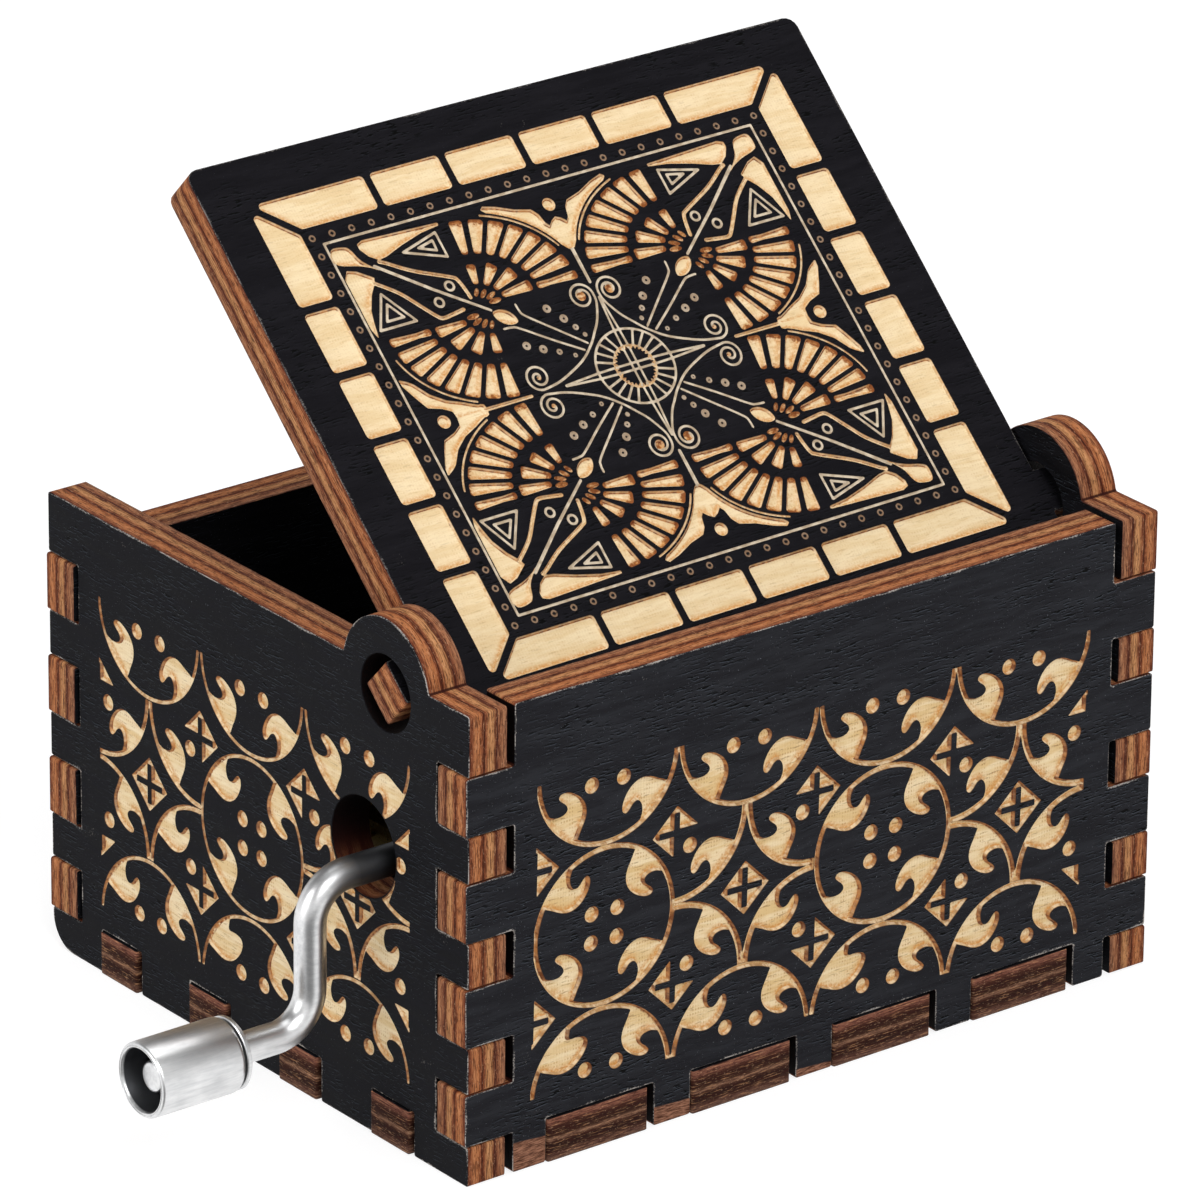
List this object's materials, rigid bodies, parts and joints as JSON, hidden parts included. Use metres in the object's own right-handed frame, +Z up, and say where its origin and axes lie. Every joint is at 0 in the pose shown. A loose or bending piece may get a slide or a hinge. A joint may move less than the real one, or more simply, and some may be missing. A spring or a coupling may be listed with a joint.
{
  "type": "hand crank music box",
  "caption": "Finger-jointed plywood music box with a hinged lid, a side crank and a pinned-drum comb movement inside.",
  "frame": {"origin": "centre of the box's underside, on the plane it rests on", "axes": "+X along the long sides with the crank leaving through the -X end, +Y towards the side where the lid opens, +Z up"},
  "size_m": [0.0847, 0.0524, 0.0653],
  "materials": {
    "stained_ply": "black stained plywood with cream engraved ornament and brown sawn edges",
    "lid_ply": "black stained plywood with cream engraved ornament and brown sawn edges",
    "base_ply": "dark brown plywood with sawn edges",
    "crank_steel": "satin turned steel",
    "spring_steel": "ground spring steel",
    "bracket_steel": "plated sheet steel",
    "screw_steel": "plated slotted screws",
    "drum_brass": "turned brass",
    "cast_bedplate": "grey cast zinc alloy",
    "gear_plastic": "off-white moulded gear"
  },
  "bodies": {
    "root": {"base_panel": "base_ply", "rear_panel": "stained_ply", "front_panel": "stained_ply", "crank_end_panel": "stained_ply", "plain_end_panel": "stained_ply", "bedplate": "cast_bedplate", "comb": "spring_steel", "comb_screw_rear": "screw_steel", "comb_screw_front": "screw_steel", "drum_bearing_rear": "bracket_steel", "drum_bearing_front": "bracket_steel", "drum_bearing_screw_rear": "screw_steel", "drum_bearing_screw_front": "screw_steel", "worm_bracket_outer": "bracket_steel", "worm_bracket_inner": "bracket_steel", "worm_bracket_screw_outer": "screw_steel", "worm_bracket_screw_inner": "screw_steel", "fixing_screw_crank_side": "screw_steel", "fixing_screw_rear": "screw_steel", "fixing_screw_front": "screw_steel"},
    "lid": {"lid_panel": "lid_ply"},
    "crank": {"crank_arm": "crank_steel", "knob_collar": "crank_steel", "knob_washer": "crank_steel", "worm_shaft": "spring_steel", "worm": "drum_brass", "worm_retaining_ring": "spring_steel"},
    "knob": {"knob": "crank_steel"},
    "drum": {"pinned_drum": "drum_brass", "drum_arbor": "spring_steel", "drum_gear": "gear_plastic"}
  },
  "joints": [
    {"name": "lid_hinge", "type": "hinge", "parent": "root", "child": "lid", "pos_m": [0, -0.0161, 0.0354], "axis": [1, 0, 0], "range_deg": [-43, 105]},
    {"name": "crank_spin", "type": "hinge", "parent": "root", "child": "crank", "pos_m": [-0.0233, -0.0144, 0.0213], "axis": [1, 0, 0], "continuous": true},
    {"name": "knob_spin", "type": "hinge", "parent": "crank", "child": "knob", "pos_m": [-0.0485, -0.0144, 0.00998], "axis": [1, 0, 0], "continuous": true},
    {"name": "drum_spin", "type": "hinge", "parent": "root", "child": "drum", "pos_m": [-0.01, -0.00025, 0.0131], "axis": [0, 1, 0], "continuous": true}
  ],
  "couplings": [
    {"joint": "drum_spin", "follows": "crank_spin", "ratio": -0.035714}
  ]
}
